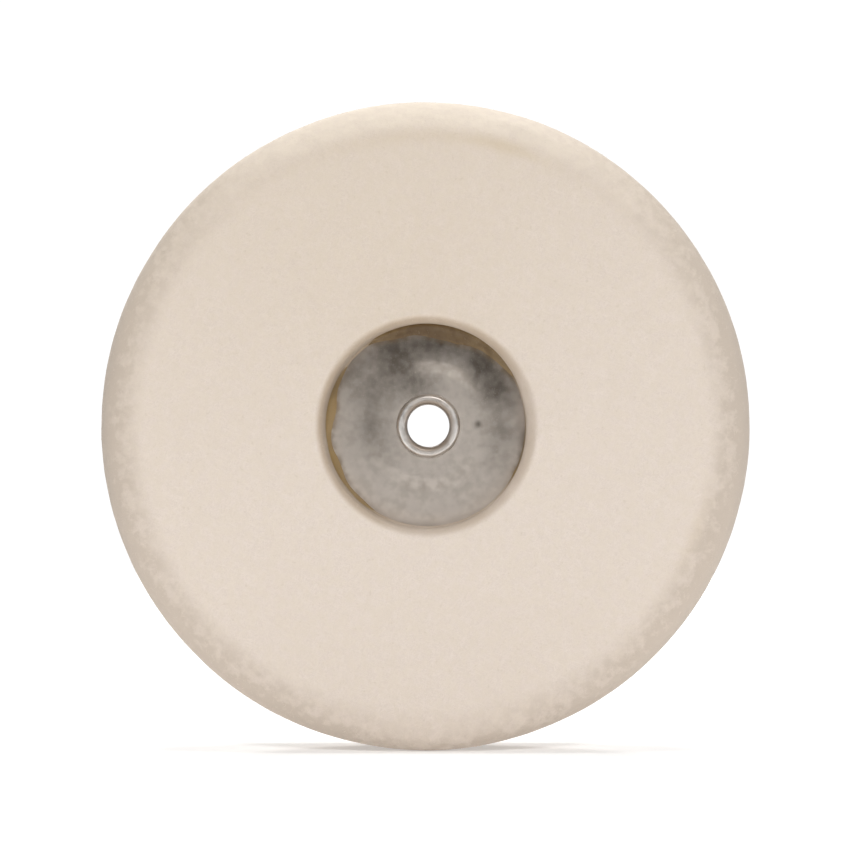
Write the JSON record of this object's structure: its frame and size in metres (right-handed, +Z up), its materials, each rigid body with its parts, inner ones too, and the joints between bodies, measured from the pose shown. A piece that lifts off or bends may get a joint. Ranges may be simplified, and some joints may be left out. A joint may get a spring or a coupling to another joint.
{
  "type": "felt polishing wheel",
  "caption": "Hard felt polishing wheel with rounded shoulders, a deep centre recess lined by a steel plate, and a rolled hub tube for an arbor.",
  "frame": {"origin": "on the bore's axis, halfway through the felt's thickness", "axes": "+Y along the bore, from the recessed front face to the rear face; +Z up; the wheel is round, so X and Z are alike"},
  "size_m": [0.1524, 0.0254, 0.1524],
  "materials": {
    "felt": "hard pressed cream wool felt, matt, faintly fibrous",
    "zinc_plate": "zinc-plated pressed sheet steel, mottled and slightly dulled",
    "rolled_steel": "zinc-plated steel tube, burnished where it is rolled over",
    "adhesive": "amber-brown cured hide glue, semi-gloss"
  },
  "bodies": {
    "root": {"felt_body": "felt", "front_plate": "zinc_plate", "rear_plate": "zinc_plate", "hub_tube": "rolled_steel", "front_adhesive": "adhesive", "rear_adhesive": "adhesive"}
  },
  "joints": []
}
